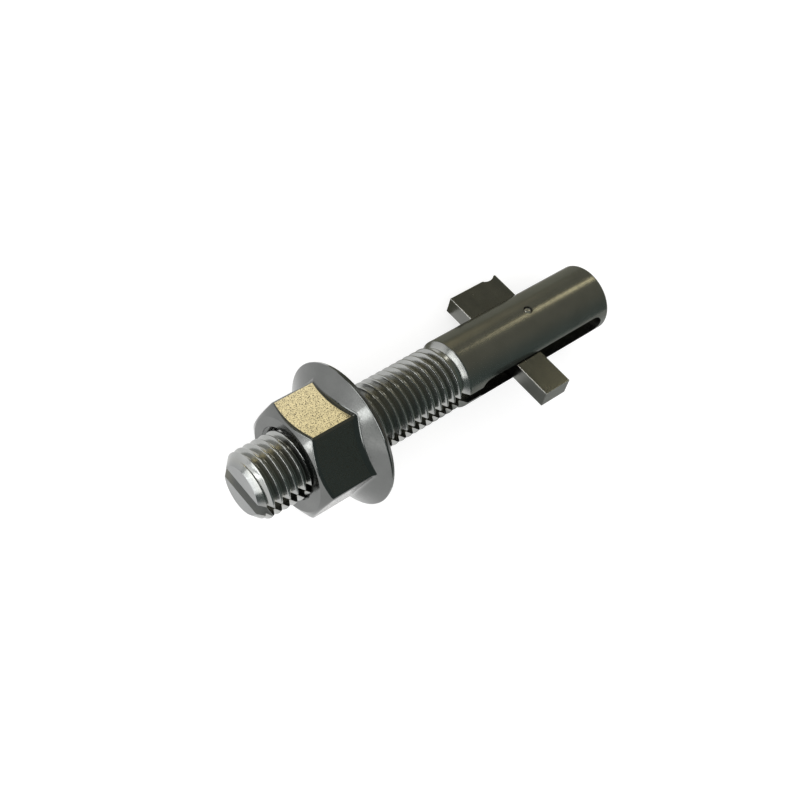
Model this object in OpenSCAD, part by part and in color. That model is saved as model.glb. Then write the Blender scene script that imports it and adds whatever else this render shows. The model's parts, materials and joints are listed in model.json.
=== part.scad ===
// Blind bolt: a slotted steel bolt with a fold-out toggle anchor on a cross pin and a hexagon flange nut.
// It lies as it comes to rest: on the nut's flange, the rim of its far end and one corner of the anchor.
// The bolt itself is drawn along X, from its threaded end to its slotted end, with the pin along Z.
// X is 0 at the nut's bearing face, and that point of the axis is the origin.

/* [Bolt] */
// Length of the bolt from end to end
bolt_l = 102.9; // [95:0.1:160]
// Diameter of the thread over its crests
thread_d = 15.9; // [15.2:0.1:16.2]
// Distance from one thread crest to the next
thread_pitch = 2; // [1.5:0.1:2.5]
// Depth of the thread from crest to root
thread_depth = 1.2; // [0.8:0.05:1.2]
// Length of the 45 degree chamfer on the threaded end
end_chamfer = 2.2; // [1:0.1:3]
// Diameter of the smooth barrel
barrel_d = 16.7; // [16.4:0.1:18]
// Length of the slope where the thread meets the barrel
shoulder_l = 1.3; // [0.8:0.1:2]
// Length of the plain neck between the last crest and that slope
neck_l = 1.4; // [1:0.1:3]
// Length of full barrel between the slope and the anchor's slot
barrel_lead = 3.6; // [2:0.1:8]
// Thickness of the wall that closes the slot at the far end
tip_wall = 2.2; // [1.5:0.1:5]
// Bevel around the far end
tip_bevel = 0.5; // [0.3:0.1:1]

/* [Drive slot and groove] */
// Width of the slot across the threaded end
drive_slot_w = 3.3; // [2:0.1:4]
// Depth of the slot across the threaded end
drive_slot_depth = 2.6; // [1.5:0.1:4]
// Width of the groove along the thread
groove_w = 2.8; // [1.6:0.1:3.4]
// Depth of the groove below the thread crests
groove_depth = 2.6; // [1.8:0.1:3.2]

/* [Anchor] */
// Width of the slot that the anchor folds into
slot_w = 5.5; // [4.5:0.1:6.5]
// Gap between the anchor and each side of the slot
side_gap = 0.5; // [0.2:0.05:0.7]
// Gap between the anchor's sweep and the ends of the slot
end_gap = 0.8; // [0.4:0.1:1.2]
// Gap between the anchor and the two stops that it swings between
stop_gap = 0.1; // [0.05:0.05:0.3]
// Distance from the pin to the anchor's bearing edge
edge_offset = 9; // [8:0.1:9.4]
// Width of the wide arm
wide_arm_w = 14.8; // [14:0.1:15.4]
// Width of the narrow arm
narrow_arm_w = 7.7; // [6.5:0.1:8]
// Reach of the wide arm from the pin
wide_reach = 15.7; // [14:0.1:18]
// Reach of the narrow arm from the pin
narrow_reach = 17.9; // [15:0.1:20]
// Radius of the scallop in the end of the wide arm
scallop_r = 2.7; // [2:0.1:3]
// Depth of that scallop
scallop_depth = 0.7; // [0.4:0.05:1]
// Distance from the scallop's middle to the wide arm's back corner
scallop_from_back = 2.4; // [2:0.1:5]

/* [Pin] */
// Diameter of the pin
pin_d = 2; // [1.6:0.1:2.4]
// Radial clearance of the pin in the anchor
pin_run_gap = 0.05; // [0.02:0.01:0.1]
// Radial clearance of the pin in the barrel
pin_seat_gap = 0.01; // [0.01:0.01:0.05]
// Depth of the pin's ends below the barrel's surface
pin_recess = 0.4; // [0.2:0.05:1]

/* [Flange nut] */
// Length of bolt that stands out of the nut
thread_out = 11.8; // [5:0.1:14]
// Height of the nut from its outer face to its bearing face
nut_h = 15.4; // [14.5:0.1:16]
// Width of the nut across its flats
nut_af = 24; // [22:0.5:26]
// Diameter of the flange
flange_d = 34; // [32:0.5:36]
// Thickness of the flange at its rim
rim_t = 1; // [0.7:0.1:2]
// Slope of the flange's upper face
flange_slope = 29; // [20:0.5:34]
// Diameter of the flat ring inside the chamfer on the nut's outer face
face_d = 22.6; // [20:0.2:23]
// Slope of the chamfer on the nut's outer face
face_slope = 30; // [20:1:35]
// Radial clearance of the nut over the thread crests
nut_run_gap = 0.1; // [0.05:0.01:0.15]
// Depth of the countersink at each end of the nut's bore
countersink = 0.7; // [0.4:0.1:1.2]
// Turn of the nut on the bolt, in degrees
nut_turn = 18.5; // [0:0.5:59.5]

/* [Hidden] */
$fn = 96;
cut = 1;
thread_r = thread_d / 2;
root_r = thread_r - thread_depth;
barrel_r = barrel_d / 2;
flange_r = flange_d / 2;

// Places along the axis
near_x = -nut_h - thread_out;
tip_x = near_x + bolt_l;
anchor_t = slot_w - 2 * side_gap;
round_inset = slot_w / 2 - sqrt(pow(slot_w / 2, 2) - pow(anchor_t / 2, 2));
slot_far_x = tip_x - tip_wall;
pin_x = slot_far_x - round_inset - end_gap - narrow_reach;
slot_near_x = pin_x - norm([edge_offset, wide_reach]) - end_gap - round_inset;
barrel_x = slot_near_x - barrel_lead;
shoulder_x = barrel_x - shoulder_l;
thread_end_x = shoulder_x - neck_l;

// The anchor's back edge swings clear of the web, which stops it when it is open
back_offset = wide_arm_w - edge_offset;
hub_r = back_offset - 3 * stop_gap;
web_x = pin_x + back_offset + stop_gap;
pocket_y = narrow_arm_w - edge_offset + stop_gap;

// Rings of the thread
ring_start_x = near_x + end_chamfer;
flank_w = thread_depth * tan(30);
ring_count = floor((thread_end_x - flank_w - ring_start_x) / thread_pitch);
crest_w = thread_pitch / 8;
root_w = thread_pitch - crest_w - 2 * flank_w;

// The pose that it rests in
rest_tilt = atan((flange_r - barrel_r) / (tip_x - tip_bevel));
corner_drop = flange_r - (pin_x + back_offset) * tan(rest_tilt);
corner_reach = norm([wide_reach, anchor_t / 2]);
rest_roll = asin(corner_drop / corner_reach) - atan(anchor_t / 2 / wide_reach);

// Lays the bolt down on its three resting points
module lie_down() {
    rotate([-rest_roll, rest_tilt, 0]) children();
}

// Turns a radius and height outline around the bolt's axis
module turned(outline) {
    rotate([0, 90, 0]) rotate_extrude() polygon(outline);
}

// A cylinder along the bolt's axis
module along_axis(r, from_x, to_x) {
    translate([from_x, 0, 0]) rotate([0, 90, 0]) cylinder(r = r, h = to_x - from_x);
}

// A round cut through the bolt from side to side, in line with the slot
module round_cut(x, from_y, to_y) {
    translate([x, to_y, 0]) rotate([90, 0, 0]) cylinder(d = slot_w, h = to_y - from_y);
}

// A flat-sided cut of the slot's width
module slot_cut(from_x, to_x, from_y, to_y) {
    translate([from_x, from_y, -slot_w / 2]) cube([to_x - from_x, to_y - from_y, slot_w]);
}

function ring_points(middle_x) = [
    [thread_r, middle_x - root_w / 2 - flank_w],
    [root_r, middle_x - root_w / 2],
    [root_r, middle_x + root_w / 2],
    [thread_r, middle_x + root_w / 2 + flank_w]
];

thread_outline = [
    for (i = [0 : ring_count - 1]) each ring_points(ring_start_x + (i + 0.5) * thread_pitch)
];

shank_outline = concat(
    [[0, near_x], [thread_r - end_chamfer, near_x], [thread_r, ring_start_x]],
    thread_outline,
    [
        [thread_r, thread_end_x - flank_w],
        [root_r, thread_end_x],
        [root_r, shoulder_x],
        [barrel_r, barrel_x],
        [barrel_r, tip_x - tip_bevel],
        [barrel_r - tip_bevel, tip_x],
        [0, tip_x]
    ]
);

module drive_slot() {
    translate([near_x - cut, -barrel_r, -drive_slot_w / 2])
        cube([drive_slot_depth + cut, barrel_d, drive_slot_w]);
}

// The groove runs from the threaded end into the anchor's slot
module rod_groove() {
    translate([near_x - cut, -barrel_d, -groove_w / 2])
        cube([slot_near_x + slot_w / 2 - near_x + cut, barrel_d - thread_r + groove_depth, groove_w]);
}

// The slot goes right through up to the web, and beyond it is a pocket from the groove's side
module anchor_slot() {
    round_cut(slot_near_x + slot_w / 2, -barrel_d, barrel_d);
    slot_cut(slot_near_x + slot_w / 2, web_x, -barrel_d, barrel_d);
    slot_cut(web_x - cut, slot_far_x - slot_w / 2, -barrel_d, pocket_y);
    round_cut(slot_far_x - slot_w / 2, -barrel_d, pocket_y);
}

module pin_hole() {
    translate([pin_x, 0, -barrel_d]) cylinder(d = pin_d + 2 * pin_seat_gap, h = 2 * barrel_d);
}

module bolt_shank() {
    color("gray") lie_down() difference() {
        turned(shank_outline);
        drive_slot();
        rod_groove();
        anchor_slot();
        pin_hole();
    }
}

module wide_arm() {
    difference() {
        translate([-edge_offset, 0]) square([wide_arm_w, wide_reach]);
        translate([back_offset - scallop_from_back, wide_reach - scallop_depth + scallop_r])
            circle(r = scallop_r);
    }
}

module narrow_arm() {
    translate([-edge_offset, -narrow_reach]) square([narrow_arm_w, narrow_reach]);
}

module toggle_anchor() {
    color("dimgray") lie_down() translate([pin_x, 0, -anchor_t / 2]) linear_extrude(anchor_t) difference() {
        union() {
            wide_arm();
            narrow_arm();
            circle(r = hub_r);
        }
        circle(d = pin_d + 2 * pin_run_gap);
    }
}

module pivot_pin() {
    pin_half = barrel_r - pin_recess;
    color("silver") lie_down() translate([pin_x, 0, -pin_half]) cylinder(d = pin_d, h = 2 * pin_half);
}

nut_corner_r = nut_af / 2 / cos(30);
nut_bore_r = thread_r + nut_run_gap;

module nut_hexagon() {
    chamfer_h = (nut_corner_r - face_d / 2) * tan(face_slope);
    intersection() {
        translate([-nut_h, 0, 0]) rotate([nut_turn, 0, 0]) rotate([0, 90, 0])
            cylinder(r = nut_corner_r, h = nut_h, $fn = 6);
        turned([
            [0, -nut_h],
            [face_d / 2, -nut_h],
            [nut_corner_r + cut, chamfer_h - nut_h + cut * tan(face_slope)],
            [nut_corner_r + cut, 0],
            [0, 0]
        ]);
    }
}

// The flange's upper face slopes up from its rim to the hexagon
module nut_flange() {
    inner_r = nut_bore_r + countersink + cut;
    inner_x = -rim_t - (flange_r - inner_r) * tan(flange_slope);
    turned([
        [0, 0],
        [flange_r, 0],
        [flange_r, -rim_t],
        [inner_r, inner_x],
        [0, inner_x]
    ]);
}

module nut_bore() {
    along_axis(nut_bore_r, -nut_h - cut, cut);
    turned([
        [0, -nut_h - cut],
        [nut_bore_r + countersink + cut, -nut_h - cut],
        [nut_bore_r, countersink - nut_h],
        [0, countersink - nut_h]
    ]);
    turned([
        [0, cut],
        [nut_bore_r + countersink + cut, cut],
        [nut_bore_r, -countersink],
        [0, -countersink]
    ]);
}

module flange_nut() {
    color("darkkhaki") lie_down() difference() {
        union() {
            nut_hexagon();
            nut_flange();
        }
        nut_bore();
    }
}

bolt_shank();
toggle_anchor();
pivot_pin();
flange_nut();
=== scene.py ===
import json
import math
import bmesh
import bpy
from mathutils import Matrix, Vector


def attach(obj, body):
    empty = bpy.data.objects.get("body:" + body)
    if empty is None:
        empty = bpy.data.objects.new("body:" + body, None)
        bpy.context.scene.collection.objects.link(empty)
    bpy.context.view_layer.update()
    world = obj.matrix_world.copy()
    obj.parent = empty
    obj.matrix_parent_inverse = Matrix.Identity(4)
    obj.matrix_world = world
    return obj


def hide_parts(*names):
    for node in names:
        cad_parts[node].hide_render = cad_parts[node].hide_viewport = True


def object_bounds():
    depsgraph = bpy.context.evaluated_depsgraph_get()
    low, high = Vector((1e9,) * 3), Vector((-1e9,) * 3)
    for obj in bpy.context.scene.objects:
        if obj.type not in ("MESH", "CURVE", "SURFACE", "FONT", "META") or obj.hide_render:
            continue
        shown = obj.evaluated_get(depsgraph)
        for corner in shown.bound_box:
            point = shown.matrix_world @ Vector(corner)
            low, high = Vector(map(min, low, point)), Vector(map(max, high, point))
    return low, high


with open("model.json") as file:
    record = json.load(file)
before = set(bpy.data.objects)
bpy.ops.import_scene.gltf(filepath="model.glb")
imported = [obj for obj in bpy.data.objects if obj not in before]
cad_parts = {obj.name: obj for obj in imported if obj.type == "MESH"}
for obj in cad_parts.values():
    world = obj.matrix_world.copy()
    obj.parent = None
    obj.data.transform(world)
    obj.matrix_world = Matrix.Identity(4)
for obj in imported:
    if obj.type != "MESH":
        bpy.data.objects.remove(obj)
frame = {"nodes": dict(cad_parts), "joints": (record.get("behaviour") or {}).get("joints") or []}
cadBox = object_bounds()
print("frame loaded:", sorted(frame["nodes"]))

mm = 0.001
joints = {joint["name"]: joint for joint in frame["joints"]}
axisX = Vector(joints["nut_travel"]["axis"]).normalized()    # along the bolt, towards the slotted end
axisZ = Vector(joints["anchor_fold"]["axis"]).normalized()   # along the pin
axisY = axisZ.cross(axisX)
boltFrame = Matrix((axisX, axisY, axisZ)).transposed().to_4x4()
pinX = Vector(joints["anchor_fold"]["pos_m"]).dot(axisX) / mm


# mesh helpers, all in millimetres along the bolt's own axes

def meshObject(name, bm):
    bmesh.ops.recalc_face_normals(bm, faces=bm.faces)
    mesh = bpy.data.meshes.new(name)
    bm.to_mesh(mesh)
    bm.free()
    obj = bpy.data.objects.new(name, mesh)
    bpy.context.scene.collection.objects.link(obj)
    return obj


def ringMesh(name, bm, rings, steps):
    # a skin over rings of points, where a ring of one point closes an end
    for low, high in zip(rings, rings[1:]):
        for k in range(steps):
            n = (k + 1) % steps
            corners = [low[k % len(low)], low[n % len(low)], high[n % len(high)], high[k % len(high)]]
            unique = [v for i, v in enumerate(corners) if v not in corners[:i]]
            bm.faces.new(unique)
    return meshObject(name, bm)


def turned(name, outline, steps):
    # outline runs from axis to axis as (x, radius)
    bm = bmesh.new()
    rings = []
    for x, r in outline:
        if r < 1e-6:
            rings.append([bm.verts.new((x, 0, 0))])
            continue
        angles = [2 * math.pi * k / steps for k in range(steps)]
        rings.append([bm.verts.new((x, r * math.cos(a), r * math.sin(a))) for a in angles])
    return ringMesh(name, bm, rings, steps)


def boxCutter(low, high):
    bm = bmesh.new()
    bmesh.ops.create_cube(bm, size=1)
    for v in bm.verts:
        v.co = Vector([low[i] if v.co[i] < 0 else high[i] for i in range(3)])
    return meshObject("cutter", bm)


def prism(name, points, low, high, axis):
    # a flat outline of (u, v) points, drawn out along Y or Z
    bm = bmesh.new()
    place = {"y": lambda u, v, h: (u, h, v), "z": lambda u, v, h: (u, v, h)}[axis]
    bottom = [bm.verts.new(place(u, v, low)) for u, v in points]
    top = [bm.verts.new(place(u, v, high)) for u, v in points]
    bm.faces.new(bottom)
    bm.faces.new(top)
    for i in range(len(points)):
        n = (i + 1) % len(points)
        bm.faces.new((bottom[i], bottom[n], top[n], top[i]))
    return meshObject(name, bm)


def arc(cx, cy, r, start, end, steps):
    angles = [math.radians(start + (end - start) * k / steps) for k in range(steps + 1)]
    return [(cx + r * math.cos(a), cy + r * math.sin(a)) for a in angles]


def applyModifiers(obj):
    graph = bpy.context.evaluated_depsgraph_get()
    mesh = bpy.data.meshes.new_from_object(obj.evaluated_get(graph))
    obj.modifiers.clear()
    old = obj.data
    obj.data = mesh
    bpy.data.meshes.remove(old)


def combine(obj, other, operation):
    modifier = obj.modifiers.new("combine", "BOOLEAN")
    modifier.operation = operation
    modifier.solver = "EXACT"
    modifier.object = other
    applyModifiers(obj)
    mesh = other.data
    bpy.data.objects.remove(other)
    bpy.data.meshes.remove(mesh)


def roundEdges(obj, width, segments, angle):
    bevel = obj.modifiers.new("edges", "BEVEL")
    bevel.width = width
    bevel.segments = segments
    bevel.limit_method = "ANGLE"
    bevel.angle_limit = math.radians(angle)
    applyModifiers(obj)


def tidyMesh(obj):
    bm = bmesh.new()
    bm.from_mesh(obj.data)
    bmesh.ops.remove_doubles(bm, verts=bm.verts, dist=0.0005)
    bmesh.ops.dissolve_degenerate(bm, edges=bm.edges, dist=0.0005)
    bm.to_mesh(obj.data)
    bm.free()
    obj.data.validate()


def settle(obj, name, body, node, smoothAngle):
    # smooth shading, then millimetres to metres and into the CAD frame
    obj.name = name
    tidyMesh(obj)
    obj.data.shade_smooth()
    obj.data.set_sharp_from_angle(angle=math.radians(smoothAngle))
    # large faces keep their own normals, narrow rounded edges blend between them
    weighted = obj.modifiers.new("normals", "WEIGHTED_NORMAL")
    weighted.weight = 50
    weighted.keep_sharp = True
    applyModifiers(obj)
    obj.data.name = name
    obj.data.transform(boltFrame @ Matrix.Scale(mm, 4))
    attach(obj, body)
    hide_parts(node)
    print("piece", name, len(obj.data.polygons), "faces")


# sizes in millimetres along the bolt's axes: the solids' own, with small roundings and sinks added

shank = dict(
    nearX=-27.2, length=102.9, threadD=15.9, pitch=2.0, threadDepth=1.2, crestAt=0.44, endChamfer=2.2,
    barrelD=16.7, shoulderL=1.3, neckL=1.4, barrelLead=3.6, tipWall=2.2, tipRound=0.6,
    driveSlotW=3.3, driveSlotDepth=2.6, grooveW=2.8, grooveDepth=2.6,
    slotW=5.5, pinHoleD=2.1, pinSinkD=2.3, pinSinkDepth=0.25, crestRound=0.33,
    edgeSoft=((-0.15, 0.12), (0.05, 0.02), (0.3, 0.0)),    # the shoulder's edge: along, below the barrel
    threadSteps=112, barrelSteps=160,
)
anchor = dict(
    edgeOffset=9.0, wideW=14.8, narrowW=7.7, wideReach=15.7, narrowReach=17.9, thick=4.5,
    endGap=0.8, stopGap=0.1, scallopR=2.7, scallopDepth=0.7, scallopFromBack=2.4,
    # the last two sizes pick the rounded faces that take the painted edge highlight
    boreD=2.1, edgeRound=0.34, highlightFrom=0.15, highlightTo=0.985,
)
pin = dict(diameter=2.0, recess=0.06, dome=0.5, steps=40)

threadR = shank["threadD"] / 2
rootR = threadR - shank["threadDepth"]
barrelR = shank["barrelD"] / 2
halfSlot = shank["slotW"] / 2
nearX = shank["nearX"]
tipX = nearX + shank["length"]
roundInset = halfSlot - math.sqrt(halfSlot ** 2 - (anchor["thick"] / 2) ** 2)
slotFarX = tipX - shank["tipWall"]
sweep = math.hypot(anchor["edgeOffset"], anchor["wideReach"])
slotNearX = pinX - sweep - anchor["endGap"] - roundInset
barrelX = slotNearX - shank["barrelLead"]
shoulderX = barrelX - shank["shoulderL"]
threadEndX = shoulderX - shank["neckL"]
backOffset = anchor["wideW"] - anchor["edgeOffset"]
webX = pinX + backOffset + anchor["stopGap"]
pocketY = anchor["narrowW"] - anchor["edgeOffset"] + anchor["stopGap"]
past = 2    # how far a cutter reaches beyond the piece
# turns the X axis onto the pin's
pinTurn = Matrix.Translation((pinX, 0, 0)) @ Matrix.Rotation(math.radians(-90), 4, "Y")


# steel finishes: texture places are the bolt's own axes in metres

def addNode(tree, kind, **values):
    node = tree.nodes.new(kind)
    for key, value in values.items():
        setattr(node, key, value)
    return node


def noiseNode(tree, places, scale, stretch, detail):
    mapping = addNode(tree, "ShaderNodeMapping")
    mapping.inputs["Scale"].default_value = stretch
    noise = addNode(tree, "ShaderNodeTexNoise")
    noise.inputs["Scale"].default_value = scale
    noise.inputs["Detail"].default_value = detail
    tree.links.new(places, mapping.inputs["Vector"])
    tree.links.new(mapping.outputs["Vector"], noise.inputs["Vector"])
    return noise.outputs["Fac"]


def rampNode(tree, source, stops):
    ramp = addNode(tree, "ShaderNodeValToRGB")
    for element, (place, tone) in zip(ramp.color_ramp.elements, stops):
        element.position = place
        element.color = (tone, tone, tone, 1)
    tree.links.new(source, ramp.inputs["Fac"])
    return ramp.outputs["Color"]


def rangeNode(tree, source, low, high, toLow, toHigh):
    node = addNode(tree, "ShaderNodeMapRange")
    node.inputs["From Min"].default_value = low
    node.inputs["From Max"].default_value = high
    node.inputs["To Min"].default_value = toLow
    node.inputs["To Max"].default_value = toHigh
    tree.links.new(source, node.inputs["Value"])
    return node.outputs["Result"]


def mixTones(tree, factor, first, second):
    mix = addNode(tree, "ShaderNodeMix", data_type="RGBA")
    for socket, value in (("Factor_Float", factor), ("A_Color", first), ("B_Color", second)):
        target = next(s for s in mix.inputs if s.identifier == socket)
        if isinstance(value, tuple):
            target.default_value = (*value, 1)
        else:
            tree.links.new(value, target)
    return next(s for s in mix.outputs if s.identifier == "Result_Color")


def mathNode(tree, operation, *values):
    node = addNode(tree, "ShaderNodeMath", operation=operation)
    for socket, value in zip(node.inputs, values):
        if isinstance(value, float):
            socket.default_value = value
        else:
            tree.links.new(value, socket)
    return node.outputs["Value"]


def bumpNode(tree, height, strength, distance, under=None):
    bump = addNode(tree, "ShaderNodeBump")
    bump.inputs["Strength"].default_value = strength
    bump.inputs["Distance"].default_value = distance
    tree.links.new(height, bump.inputs["Height"])
    if under is not None:
        tree.links.new(under, bump.inputs["Normal"])
    return bump.outputs["Normal"]


def steelStart(name):
    material = bpy.data.materials.new(name)
    material.use_nodes = True
    tree = material.node_tree
    shader = tree.nodes["Principled BSDF"]
    shader.inputs["Metallic"].default_value = 1.0
    turn = addNode(tree, "ShaderNodeMapping")
    turn.inputs["Rotation"].default_value = boltFrame.inverted().to_euler()
    tree.links.new(addNode(tree, "ShaderNodeTexCoord").outputs["Object"], turn.inputs["Vector"])
    return material, tree, shader, turn.outputs["Vector"]


def axisRadius(tree, places):
    # distance from the bolt's axis, in metres
    flat = addNode(tree, "ShaderNodeVectorMath", operation="MULTIPLY")
    flat.inputs[1].default_value = (0, 1, 1)
    tree.links.new(places, flat.inputs[0])
    length = addNode(tree, "ShaderNodeVectorMath", operation="LENGTH")
    tree.links.new(flat.outputs["Vector"], length.inputs[0])
    return length.outputs["Value"]


turnedLook = dict(
    dark=(0.215, 0.22, 0.21), light=(0.3, 0.305, 0.295), root=(0.36, 0.36, 0.33), rough=(0.19, 0.26),
    sawn=(0.42, 0.425, 0.42), sawnRough=0.5, threadDark=(0.3, 0.306, 0.296), threadLight=(0.415, 0.421, 0.41),
    endDark=(0.225, 0.231, 0.229), endLight=(0.305, 0.313, 0.31),
    endFade=(0.2, 2.4), rootFade=0.5, sawnSide=(0.01, 0.03), sawnFloor=(0.02, 0.05),    # millimetres
)
grainLook = dict(
    dark=(0.155, 0.157, 0.149), light=(0.195, 0.197, 0.189), rough=(0.13, 0.2),
    pit=(0.125, 0.118, 0.098), pitRough=0.3,
)
flangeLook = dict(dark=(0.125, 0.129, 0.126), light=(0.172, 0.176, 0.172), rough=(0.12, 0.22))
barLook = dict(dark=(0.155, 0.157, 0.145), light=(0.21, 0.212, 0.197), rough=(0.17, 0.28))
# a paler copy of the bar's steel for its rounded edges: a painted highlight
edgeHighlightLook = dict(dark=(0.5, 0.5, 0.48), light=(0.62, 0.62, 0.6), rough=(0.16, 0.24))
pinLook = dict(dark=(0.4, 0.4, 0.39), light=(0.55, 0.55, 0.54), rough=(0.12, 0.2))


def slotShare(tree, split):
    # 1 inside the slot across the threaded end, 0 elsewhere
    level = mathNode(tree, "ABSOLUTE", split.outputs["Z"])
    half = shank["driveSlotW"] / 2
    floorX = nearX + shank["driveSlotDepth"]
    sideFrom, sideTo = [(half + edge) * mm for edge in turnedLook["sawnSide"]]
    floorFrom, floorTo = [(floorX + edge) * mm for edge in turnedLook["sawnFloor"]]
    across = rangeNode(tree, level, sideFrom, sideTo, 1.0, 0.0)
    end = rangeNode(tree, split.outputs["X"], floorFrom, floorTo, 1.0, 0.0)
    return mathNode(tree, "MULTIPLY", across, end)


def turnedSteel():
    material, tree, shader, places = steelStart("turnedSteel")
    look = turnedLook
    cloud = noiseNode(tree, places, 220, (1, 1, 1), 4)
    rings = noiseNode(tree, places, 1, (9000, 120, 120), 2)
    speckle = noiseNode(tree, places, 3200, (1, 1, 1), 2)
    radius = axisRadius(tree, places)
    split = addNode(tree, "ShaderNodeSeparateXYZ")
    tree.links.new(places, split.inputs["Vector"])
    # the rolled thread is paler and smoother than the barrel
    onBarrel = rangeNode(tree, split.outputs["X"], shoulderX * mm, barrelX * mm, 0.0, 1.0)
    rolled = mixTones(tree, cloud, look["threadDark"], look["threadLight"])
    base = mixTones(tree, onBarrel, rolled, mixTones(tree, cloud, look["dark"], look["light"]))
    # the thread's roots take one set, slightly warmer tone, fading out towards the crests
    rootShare = rangeNode(tree, radius, rootR * mm, (rootR + look["rootFade"]) * mm, 1.0, 0.0)
    zonedTone = mixTones(tree, rootShare, base, look["root"])
    # the cut end is a little darker than the thread
    endFrom, endTo = [(nearX + edge) * mm for edge in look["endFade"]]
    endShare = rangeNode(tree, split.outputs["X"], endFrom, endTo, 1.0, 0.0)
    zonedTone = mixTones(tree, endShare, zonedTone, mixTones(tree, cloud, look["endDark"], look["endLight"]))
    grain = mathNode(tree, "MULTIPLY", speckle, onBarrel)
    # the slot across the end is sawn and dull
    sawn = slotShare(tree, split)
    tree.links.new(mixTones(tree, sawn, zonedTone, look["sawn"]), shader.inputs["Base Color"])
    smooth = rangeNode(tree, speckle, 0.3, 0.7, *look["rough"])
    dull = mathNode(tree, "MULTIPLY_ADD", sawn, look["sawnRough"], smooth)
    tree.links.new(dull, shader.inputs["Roughness"])
    low = bumpNode(tree, rings, 0.25, 0.00002)
    tree.links.new(bumpNode(tree, grain, 0.05, 0.00002, low), shader.inputs["Normal"])
    return material


def grainSteel():
    material, tree, shader, places = steelStart("grainSteel")
    look = grainLook
    cloud = noiseNode(tree, places, 260, (1, 1, 1), 3)
    grain = noiseNode(tree, places, 2600, (1, 1, 1), 3)
    pits = rampNode(tree, noiseNode(tree, places, 4200, (1, 1, 1), 4), [(0.36, 1.0), (0.49, 0.0)])
    base = mixTones(tree, cloud, look["dark"], look["light"])
    tree.links.new(mixTones(tree, pits, base, look["pit"]), shader.inputs["Base Color"])
    smooth = rangeNode(tree, grain, 0.3, 0.7, *look["rough"])
    dull = mathNode(tree, "MULTIPLY_ADD", pits, look["pitRough"], smooth)
    tree.links.new(dull, shader.inputs["Roughness"])
    tree.links.new(bumpNode(tree, grain, 0.12, 0.00003), shader.inputs["Normal"])
    return material


def flangeSteel():
    material, tree, shader, places = steelStart("flangeSteel")
    look = flangeLook
    cloud = noiseNode(tree, places, 300, (1, 1, 1), 4)
    fine = noiseNode(tree, places, 2400, (1, 1, 1), 3)
    tree.links.new(mixTones(tree, cloud, look["dark"], look["light"]), shader.inputs["Base Color"])
    tree.links.new(rangeNode(tree, fine, 0.3, 0.7, *look["rough"]), shader.inputs["Roughness"])
    tree.links.new(bumpNode(tree, fine, 0.15, 0.00002), shader.inputs["Normal"])
    return material


def barSteel(name, look):
    material, tree, shader, places = steelStart(name)
    cloud = noiseNode(tree, places, 240, (1, 1, 1), 5)
    rolled = noiseNode(tree, places, 900, (1, 0.12, 1), 4)
    fine = noiseNode(tree, places, 3000, (1, 1, 1), 2)
    tree.links.new(mixTones(tree, cloud, look["dark"], look["light"]), shader.inputs["Base Color"])
    tree.links.new(rangeNode(tree, rolled, 0.3, 0.7, *look["rough"]), shader.inputs["Roughness"])
    tree.links.new(bumpNode(tree, fine, 0.25, 0.00003), shader.inputs["Normal"])
    return material


def pinSteel():
    material, tree, shader, places = steelStart("pinSteel")
    look = pinLook
    fine = noiseNode(tree, places, 3000, (1, 1, 1), 2)
    tree.links.new(mixTones(tree, fine, look["dark"], look["light"]), shader.inputs["Base Color"])
    tree.links.new(rangeNode(tree, fine, 0.3, 0.7, *look["rough"]), shader.inputs["Roughness"])
    return material


# bolt shank: helical thread, groove, end slot, shoulder and slotted barrel

def threadProfile(pitch, depth):
    # one pitch as (place along the axis, depth below the crest): round crest, flank, round root, flank
    crestRound = shank["crestRound"]
    rootRound = pitch / 2 / math.tan(math.radians(30)) - depth - crestRound
    crestX = pitch / 16
    rootX = crestX + pitch / 2
    leans = [math.radians(-60 + 20 * k) for k in range(7)]
    crest = [(crestX + crestRound * math.sin(a), crestRound * (1 - math.cos(a))) for a in leans]
    root = [(rootX + rootRound * math.sin(a), depth - rootRound * (1 - math.cos(a))) for a in leans]
    return crest + root


def helixRod(fromX, fadeX, toX, grow):
    # a right-handed thread that fades to its root before the far end, or a wider one to cut a nut with
    pitch = shank["pitch"]
    steps = shank["threadSteps"]
    profile = threadProfile(pitch, shank["threadDepth"])
    perPitch = len(profile)
    turns = math.ceil((toX - fromX) / pitch)
    rows = turns * perPitch
    bm = bmesh.new()
    grid = []
    for j in range(steps):
        angle = 2 * math.pi * j / steps
        column = []
        for i in range(rows + perPitch + 1):
            along, depth = profile[i % perPitch]
            x = fromX + pitch * (i // perPitch) + along + pitch * angle / (2 * math.pi)
            fade = min(1.0, max(0.0, (fadeX + pitch - x) / pitch))
            start = min(1.0, max(0.0, (x - fromX - pitch) / pitch))
            r = grow + rootR + (threadR - depth - rootR) * fade * start
            column.append(bm.verts.new((x, r * math.cos(angle), r * math.sin(angle))))
        grid.append(column)
    for j in range(steps):
        shift = perPitch if j == steps - 1 else 0
        here = grid[j]
        after = grid[(j + 1) % steps]
        for i in range(rows):
            bm.faces.new((here[i], here[i + 1], after[i + 1 + shift], after[i + shift]))
    for v in [v for v in bm.verts if not v.link_faces]:
        bm.verts.remove(v)
    openEdges = [e for e in bm.edges if e.is_boundary]
    middle = (fromX + toX) / 2
    for sideX in (fromX - 4 * pitch, fromX + (turns + 5) * pitch):
        tip = bm.verts.new((sideX, 0, 0))
        for e in openEdges:
            if (e.verts[0].co.x < middle) == (sideX < middle):
                bm.faces.new((e.verts[0], e.verts[1], tip))
    return meshObject("helixRod", bm)


def threadEnvelope():
    room = 0.5
    chamfer = shank["endChamfer"]
    return turned("threadEnvelope", [
        (nearX, 0), (nearX, threadR - chamfer), (nearX + chamfer + room, threadR + room),
        (shoulderX + 1, threadR + room), (shoulderX + 1, 0),
    ], shank["threadSteps"] - 1)    # so that no edge lies on the thread's own


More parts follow.
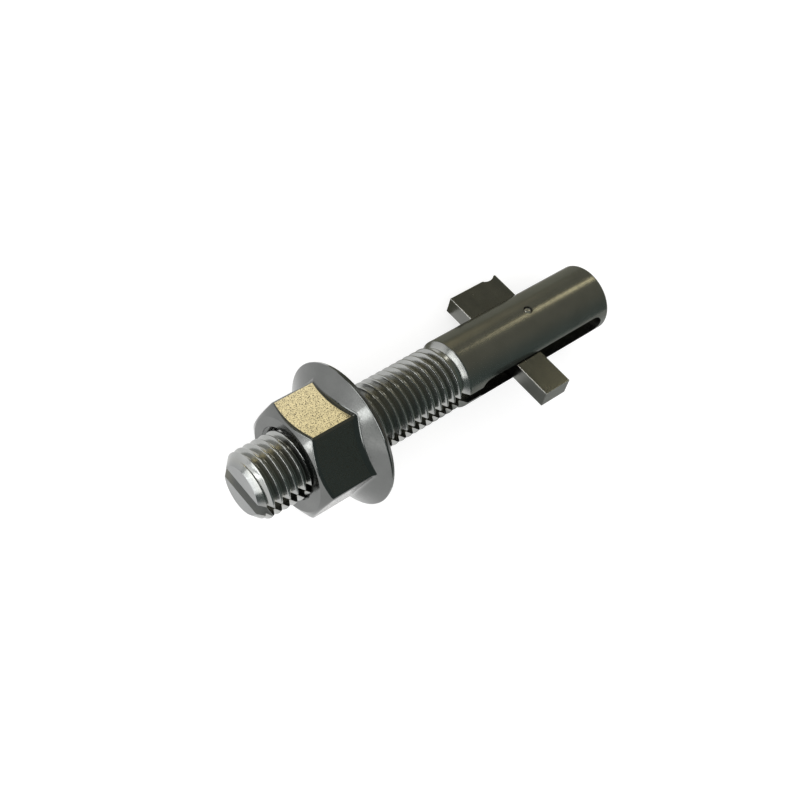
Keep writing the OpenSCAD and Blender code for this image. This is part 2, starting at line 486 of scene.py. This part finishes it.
def barrelBody():
    tip = shank["tipRound"]
    slope = (barrelR - rootR) / shank["shoulderL"]
    inset = 0.4
    soft = [(barrelX + along, barrelR - below) for along, below in shank["edgeSoft"]]
    rim = arc(tipX - tip, barrelR - tip, tip, 90, 0, 8)
    return turned("barrel", [
        (shoulderX - inset / slope, 0), (shoulderX - inset / slope, rootR - inset),
    ] + soft + rim + [(tipX, 0)], shank["barrelSteps"])


def driveSlotCutter():
    half = shank["driveSlotW"] / 2
    wide = barrelR + past
    return boxCutter((nearX - past, -wide, -half), (nearX + shank["driveSlotDepth"], wide, half))


def grooveCutter():
    half = shank["grooveW"] / 2
    floorY = -threadR + shank["grooveDepth"]
    return boxCutter((nearX - past, -barrelR - 2 * past, -half), (slotNearX + halfSlot, floorY, half))


def slotOutline(fromX, toX, roundNear, roundFar):
    near = [(fromX, -halfSlot), (fromX, halfSlot)]
    far = [(toX, halfSlot), (toX, -halfSlot)]
    if roundNear:
        near = arc(fromX + halfSlot, 0, halfSlot, 270, 90, 28)
    if roundFar:
        far = arc(toX - halfSlot, 0, halfSlot, 90, -90, 28)
    return near + far


def pinHoleCutter():
    deep = shank["pinSinkDepth"]
    holeR = shank["pinHoleD"] / 2
    sinkR = shank["pinSinkD"] / 2
    flareR = sinkR + 0.3
    top = barrelR + 1
    low = barrelR - deep
    cutter = turned("pinHole", [
        (-top, 0), (-top, flareR), (-low, holeR), (low, holeR), (top, flareR), (top, 0),
    ], pin["steps"])
    cutter.data.transform(pinTurn)
    return cutter


def helixStart(x):
    # a place a few turns before x, in step with the crests
    turnsBack = math.ceil((shank["crestAt"] - x) / shank["pitch"]) + 3
    return shank["crestAt"] - shank["pitch"] * (turnsBack + 1 / 16)


def buildShank():
    thread = helixRod(helixStart(nearX), threadEndX, shoulderX + 4, 0)
    combine(thread, threadEnvelope(), "INTERSECT")
    combine(thread, driveSlotCutter(), "DIFFERENCE")
    combine(thread, grooveCutter(), "DIFFERENCE")
    barrel = barrelBody()
    through = slotOutline(slotNearX, webX, True, False)
    pocket = slotOutline(webX - 1, slotFarX, False, True)
    combine(barrel, prism("slotCutter", through, -2 * barrelR, 2 * barrelR, "y"), "DIFFERENCE")
    combine(barrel, prism("pocketCutter", pocket, -2 * barrelR, pocketY, "y"), "DIFFERENCE")
    combine(barrel, grooveCutter(), "DIFFERENCE")
    combine(barrel, pinHoleCutter(), "DIFFERENCE")
    combine(barrel, thread, "UNION")
    barrel.data.materials.append(turnedSteel())
    settle(barrel, "boltShank", "bolt", "bolt_shank", smoothAngle=32)


# toggle anchor: a sheared bar with a wide and a narrow arm

def anchorOutline():
    edge = anchor["edgeOffset"]
    hubR = backOffset - 3 * anchor["stopGap"]
    narrowX = anchor["narrowW"] - edge
    hubStart = math.degrees(math.atan2(-math.sqrt(hubR ** 2 - narrowX ** 2), narrowX))
    scallopX = backOffset - anchor["scallopFromBack"]
    scallopY = anchor["wideReach"] - anchor["scallopDepth"] + anchor["scallopR"]
    half = math.degrees(math.acos(1 - anchor["scallopDepth"] / anchor["scallopR"]))
    points = [(-edge, -anchor["narrowReach"]), (narrowX, -anchor["narrowReach"])]
    points += arc(0, 0, hubR, hubStart, 0, 20)
    points += [(backOffset, 0), (backOffset, anchor["wideReach"])]
    points += arc(scallopX, scallopY, anchor["scallopR"], 270 + half, 270 - half, 14)
    points += [(-edge, anchor["wideReach"])]
    return [(pinX + u, v) for u, v in points]


def buildAnchor():
    half = anchor["thick"] / 2
    bar = prism("anchor", anchorOutline(), -half, half, "z")
    roundEdges(bar, anchor["edgeRound"], segments=3, angle=35)
    reach = 2 * anchor["thick"]
    boreR = anchor["boreD"] / 2
    bore = turned("bore", [(-reach, 0), (-reach, boreR), (reach, boreR), (reach, 0)], pin["steps"])
    bore.data.transform(pinTurn)
    combine(bar, bore, "DIFFERENCE")
    bar.data.materials.append(barSteel("barSteel", barLook))
    bar.data.materials.append(barSteel("edgeHighlight", edgeHighlightLook))
    # the rounded edges of the two broad sides take a paler steel, a painted highlight along those edges
    for face in bar.data.polygons:
        face.material_index = 1 if anchor["highlightFrom"] < abs(face.normal.z) < anchor["highlightTo"] else 0
    settle(bar, "toggleAnchor", "anchor", "toggle_anchor", smoothAngle=40)


# pivot pin: bright, with domed ends just below the barrel's surface

def buildPin():
    r = pin["diameter"] / 2
    end = barrelR - pin["recess"]
    straight = end - pin["dome"]
    angles = [math.pi / 16 * k for k in range(9)]
    dome = [(straight + pin["dome"] * math.sin(a), r * math.cos(a)) for a in angles]
    outline = [(-x, y) for x, y in reversed(dome)] + dome
    rod = turned("pin", outline, pin["steps"])
    rod.data.transform(pinTurn)
    rod.data.materials.append(pinSteel())
    settle(rod, "pivotPin", "bolt", "pivot_pin", smoothAngle=40)


# flange nut: chamfered hexagon on a sloping flange

nut = dict(
    height=15.4, acrossFlats=24.0, flangeD=34.0, rimT=1.0, flangeSlope=29.0, faceD=22.6, faceSlope=30.0,
    runGap=0.1, countersink=0.3, threadOut=0.9, turn=18.5, cornerRound=0.9, faceRound=0.9,
    footRound=1.5, rimRound=0.25, rimTaper=0.32, cornerSteps=8, flatSteps=14, steps=144,
    faceIn=0.12, faceOut=0.08, softX=0.05, rimIn=0.06, bearingSoft=0.1, flatTilt=0.02, flatSlack=0.05,
)


def hexColumns():
    # angle and radius of every column of points around the hexagon, its corners rounded
    flat = nut["acrossFlats"] / 2
    soft = nut["cornerRound"]
    centre = (flat - soft) / math.cos(math.radians(30))
    columns = []
    for k in range(6):
        corner = math.radians(nut["turn"] + 30 + 60 * k)
        for step in range(nut["cornerSteps"] + 1):
            a = math.radians(-30 + 60 * step / nut["cornerSteps"])
            u = centre + soft * math.cos(a)
            v = soft * math.sin(a)
            columns.append((corner + math.atan2(v, u), math.hypot(u, v)))
        reach = columns[-1][0] - corner
        for step in range(1, nut["flatSteps"]):
            a = corner + reach + (math.radians(60) - 2 * reach) * step / nut["flatSteps"]
            columns.append((a, flat / math.cos(a - corner - math.radians(30))))
    return columns


def nutOutline(r):
    # end face, chamfer, flat at radius r, fillet, flange and rim as (x, radius)
    faceR = nut["faceD"] / 2
    flangeR = nut["flangeD"] / 2
    rise = math.radians(nut["faceSlope"])
    fall = math.radians(nut["flangeSlope"])
    near = nut["faceRound"]
    foot = nut["footRound"]
    flatX = -nut["height"] + (r - faceR) * math.tan(rise) + near * math.tan(math.radians(45) - rise / 2)
    top = -nut["rimT"]
    footX = top - (flangeR - r) * math.tan(fall) - foot * math.tan(math.radians(45) - fall / 2)
    softX = nut["softX"]
    endX = -nut["height"]
    points = [(endX, faceR - nut["faceIn"]), (endX + softX, faceR + nut["faceOut"])]
    for k in range(9):
        t = (math.pi / 2 - rise) * (1 - k / 8)
        points.append((flatX - near * math.sin(t), r - near + near * math.cos(t)))
    for k in range(13):
        t = (math.pi / 2 - fall) * k / 12
        points.append((footX + foot * math.sin(t), r + foot - foot * math.cos(t)))
    soft = nut["rimRound"]
    taper = nut["rimTaper"]
    bearing = nut["bearingSoft"]
    points += [(top - soft * math.tan(fall), flangeR - soft), (top + softX, flangeR - nut["rimIn"])]
    return points + [(top + soft, flangeR), (-bearing, flangeR - taper + bearing), (0, flangeR - taper)]


def nutBody():
    bm = bmesh.new()
    columns = hexColumns()
    outlines = [nutOutline(r) for a, r in columns]
    rings = [[bm.verts.new((-nut["height"], 0, 0))]]
    for row in zip(*outlines):
        around = [(x, r * math.cos(a), r * math.sin(a)) for (x, r), (a, flat) in zip(row, columns)]
        rings.append([bm.verts.new(place) for place in around])
    rings.append([bm.verts.new((0, 0, 0))])
    return ringMesh("nutBody", bm, rings, len(columns))


def nutBore():
    boreR = threadR + nut["runGap"]
    sink = nut["countersink"]
    low = -nut["height"]
    return turned("bore", [
        (low - 1, 0), (low - 1, boreR + sink + 1), (low + sink, boreR), (-sink, boreR),
        (1, boreR + sink + 1), (1, 0),
    ], nut["steps"])


def grainFlats(mesh):
    # the six flats take the grainy finish, all else the smooth one
    flat = nut["acrossFlats"] / 2
    for face in mesh.polygons:
        across = abs(face.normal.x) < nut["flatTilt"]
        reach = abs(face.normal.dot(face.center) - flat) < nut["flatSlack"]
        face.material_index = 1 if across and reach else 0


def buildNut():
    body = nutBody()
    combine(body, nutBore(), "DIFFERENCE")
    start = helixStart(-nut["height"])
    beyondX = 8
    noFadeX = 5 * beyondX
    combine(body, helixRod(start, noFadeX, beyondX, nut["runGap"] + nut["threadOut"]), "DIFFERENCE")
    for finish in (flangeSteel(), grainSteel()):
        body.data.materials.append(finish)
    grainFlats(body.data)
    settle(body, "flangeNut", "nut", "flange_nut", smoothAngle=28)


buildShank()
buildAnchor()
buildPin()
buildNut()


# floor, studio and lamps

studio = dict(
    floorSize=6.0, floorTone=0.5, floorGlow=0.68, daylight=0.8, horizonLow=0.045, horizonHigh=0.08,
    slate=(0.105, 0.135, 0.125), olive=(0.215, 0.212, 0.165), slateTo=-0.1, oliveFrom=0.6,
    cardMottle=1.15, cardScale=40, lampAimX=18,
)


def seenRays(tree):
    # 1 for camera, glossy and transmission rays
    path = addNode(tree, "ShaderNodeLightPath")
    first = mathNode(tree, "MAXIMUM", path.outputs["Is Camera Ray"], path.outputs["Is Glossy Ray"])
    return mathNode(tree, "MAXIMUM", first, path.outputs["Is Transmission Ray"])


def matteStart(name):
    material = bpy.data.materials.new(name)
    material.use_nodes = True
    shader = material.node_tree.nodes["Principled BSDF"]
    shader.inputs["Roughness"].default_value = 1.0
    shader.inputs["Specular IOR Level"].default_value = 0.0
    return material, material.node_tree, shader


def buildFloor():
    half = studio["floorSize"] / 2
    bm = bmesh.new()
    low = cadBox[0][2]
    bm.faces.new([bm.verts.new((x * half, y * half, low)) for x, y in ((-1, -1), (1, -1), (1, 1), (-1, 1))])
    floor = meshObject("floor", bm)
    material, tree, shader = matteStart("paleFloor")
    tone = studio["floorTone"]
    shader.inputs["Base Color"].default_value = (tone, tone, tone, 1)
    shader.inputs["Emission Color"].default_value = (1, 1, 1, 1)
    glow = mathNode(tree, "MULTIPLY", seenRays(tree), studio["floorGlow"])
    tree.links.new(glow, shader.inputs["Emission Strength"])
    floor.data.materials.append(material)


shadeCards = [
    # grey cards beside the bolt that only mirrors show, painted shade for the floor darkened by the bolt's
    # shade and its dim surroundings; in millimetres: both ends in X, the bent outline as Y and height above
    # the floor, and the colour
    dict(name="farShadeCard", ends=(22, 190), path=[(11, 0.1), (46, 0.1), (46, 31)], tone=(0.3, 0.3, 0.245)),
    dict(name="nearShadeCard", ends=(16, 150), path=[(-12, 0.1), (-52, 0.1), (-52, 23)], tone=(0.52, 0.54, 0.52)),
]


def buildShadeCards():
    low = cadBox[0][2]
    for card in shadeCards:
        bm = bmesh.new()
        rows = [[bm.verts.new((x * mm, y * mm, low + z * mm)) for x in card["ends"]] for y, z in card["path"]]
        for here, after in zip(rows, rows[1:]):
            bm.faces.new((here[0], here[1], after[1], after[0]))
        obj = meshObject(card["name"], bm)
        material, tree, shader = matteStart(card["name"])
        places = addNode(tree, "ShaderNodeTexCoord").outputs["Object"]
        paler = tuple(studio["cardMottle"] * c for c in card["tone"])
        mottle = noiseNode(tree, places, studio["cardScale"], (1, 1, 1), 3)
        shade = mixTones(tree, mottle, card["tone"], paler)
        tree.links.new(shade, shader.inputs["Base Color"])
        obj.data.materials.append(material)
        # shown only in mirrors, where they paint shade on the floor and surroundings beside the bolt
        obj.visible_camera = False
        obj.visible_diffuse = False
        obj.visible_transmission = False
        obj.visible_shadow = False


def buildWorld():
    # soft daylight on the floor; in mirrors a white horizon under a dim ceiling, slate to olive
    world = bpy.data.worlds.new("studio")
    bpy.context.scene.world = world
    world.use_nodes = True
    tree = world.node_tree
    background = tree.nodes["Background"]
    split = addNode(tree, "ShaderNodeSeparateXYZ")
    tree.links.new(addNode(tree, "ShaderNodeTexCoord").outputs["Generated"], split.inputs["Vector"])
    high = rangeNode(tree, split.outputs["Z"], studio["horizonLow"], studio["horizonHigh"], 0.0, 1.0)
    across = mathNode(tree, "ADD", split.outputs["X"], split.outputs["Y"])
    side = rangeNode(tree, across, studio["slateTo"], studio["oliveFrom"], 0.0, 1.0)
    ceiling = mixTones(tree, side, studio["slate"], studio["olive"])
    seen = mixTones(tree, high, (1.0, 1.0, 1.0), ceiling)
    day = (studio["daylight"],) * 3
    tree.links.new(mixTones(tree, seenRays(tree), day, seen), background.inputs["Color"])


lamps = [
    # azimuth and elevation of the lamp in degrees, distance, width and height in metres, radiance, colour
    dict(
        name="window", azimuth=180, elevation=26, away=0.6,
        size=(0.5, 0.15), glow=3.4, tone=(1.0, 1.0, 0.995),
    ),
    dict(
        name="sideWindow", azimuth=150, elevation=16, away=0.6,
        size=(0.2, 0.15), glow=3.0, tone=(1.0, 1.0, 0.99),
    ),
    dict(
        name="windowBar", azimuth=176, elevation=7, away=0.6,
        size=(0.075, 0.16), glow=5.0, tone=(1.0, 1.0, 0.99),
    ),
    dict(
        name="windowSill", azimuth=180, elevation=4, away=0.7,
        size=(0.8, 0.09), glow=1.0, tone=(1.0, 0.995, 0.98),
    ),
    dict(
        name="warmPanel", azimuth=65, elevation=5.5, away=0.55,
        size=(0.13, 0.125), glow=4.4, tone=(1.0, 0.82, 0.43),
    ),
    dict(
        name="warmStrip", azimuth=34, elevation=27, away=0.6,
        size=(0.11, 0.05), glow=3.0, tone=(1.0, 0.88, 0.54),
    ),
    dict(
        name="skylight", azimuth=108, elevation=37, away=0.6,
        size=(0.2, 0.08), glow=3.5, tone=(1.0, 0.98, 0.92),
    ),
    dict(
        name="warmFill", azimuth=118, elevation=14, away=0.6,
        size=(0.2, 0.2), glow=0.25, tone=(1.0, 0.9, 0.6),
    ),
]


def buildLamps():
    aim = axisX * (studio["lampAimX"] * mm)
    for lamp in lamps:
        light = bpy.data.lights.new(lamp["name"], "AREA")
        light.shape = "RECTANGLE"
        light.size, light.size_y = lamp["size"]
        light.energy = lamp["glow"] * math.pi * lamp["size"][0] * lamp["size"][1]
        light.color = lamp["tone"]
        obj = bpy.data.objects.new(lamp["name"], light)
        bpy.context.scene.collection.objects.link(obj)
        turn = math.radians(lamp["azimuth"])
        rise = math.radians(lamp["elevation"])
        way = Vector((math.cos(turn) * math.cos(rise), math.sin(turn) * math.cos(rise), math.sin(rise)))
        obj.location = aim + way * lamp["away"]
        obj.rotation_euler = (-way).to_track_quat("-Z", "Y").to_euler()


# camera: eye and aim along the bolt's axes in millimetres, and a roll about the line of sight

viewer = dict(eye=(-126.41, -106.53, 221.17), aim=(16.21, 0.1, 0.0), roll=16.58, lens=57.54, sensor=36.0)


def buildCamera():
    eye = boltFrame @ (Vector(viewer["eye"]) * mm)
    aim = boltFrame @ (Vector(viewer["aim"]) * mm)
    look = (aim - eye).normalized()
    right = look.cross(axisZ).normalized()
    right.rotate(Matrix.Rotation(math.radians(-viewer["roll"]), 3, look))
    up = right.cross(look)
    data = bpy.data.cameras.new("camera")
    data.lens = viewer["lens"]
    data.sensor_width = viewer["sensor"]
    data.clip_start = 0.01
    obj = bpy.data.objects.new("camera", data)
    bpy.context.scene.collection.objects.link(obj)
    turn = Matrix((right, up, -look)).transposed().to_4x4()
    obj.matrix_world = Matrix.Translation(eye) @ turn
    bpy.context.scene.camera = obj


buildFloor()
buildShadeCards()
buildWorld()
buildLamps()
buildCamera()
bpy.context.scene.view_settings.view_transform = "Standard"
print("studio done")
